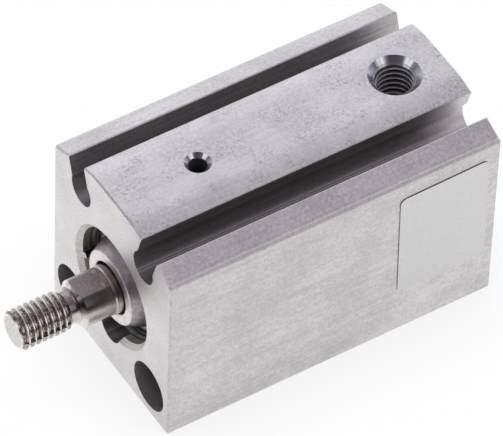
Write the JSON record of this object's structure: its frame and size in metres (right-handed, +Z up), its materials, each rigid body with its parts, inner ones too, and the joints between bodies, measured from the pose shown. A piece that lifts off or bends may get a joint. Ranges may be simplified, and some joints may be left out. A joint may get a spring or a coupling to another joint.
{
  "type": "short-stroke cylinder",
  "caption": "Compact single-acting pneumatic cylinder: extruded body with sensor slots, spring-returned piston rod with a threaded end, top supply port and corner mounting holes.",
  "frame": {"origin": "where the rod axis meets the front face of the body", "axes": "-Y along the rod, the way it comes out; +Z up out of the supply port; +X to the label side"},
  "size_m": [0.0251, 0.0564, 0.0278],
  "materials": {
    "anodised_aluminium": "satin extruded and clear anodised",
    "bright_aluminium": "turned",
    "spring_steel": "drawn wire",
    "stainless_steel": "ground and polished",
    "bronze": "sintered",
    "black_rubber": "moulded",
    "polyurethane": "moulded",
    "guide_plastic": "turned",
    "magnet": "pressed, with a binder",
    "label_foil": "silver film, bare"
  },
  "bodies": {
    "barrel": {"housing": "anodised_aluminium", "bearing_cap": "bright_aluminium", "snap_ring": "spring_steel", "guide_bush": "bronze", "rod_wiper": "black_rubber", "cap_o_ring": "black_rubber", "front_bumper": "polyurethane", "return_spring": "spring_steel", "rear_bumper": "polyurethane", "side_label": "label_foil"},
    "rod": {"piston_rod": "stainless_steel", "piston_front": "bright_aluminium", "guide_ring": "guide_plastic", "magnet_ring": "magnet", "piston_rear": "bright_aluminium", "piston_seal": "polyurethane", "rod_o_ring": "black_rubber", "piston_washer": "spring_steel", "piston_nut": "stainless_steel"}
  },
  "joints": [
    {"name": "rod_slide", "type": "slide", "parent": "barrel", "child": "rod", "axis": [0, -1, 0], "range_m": [0, 0.01], "stiffness_N_per_m": 580, "springref_m": -0.008, "deforming": ["return_spring"]}
  ]
}
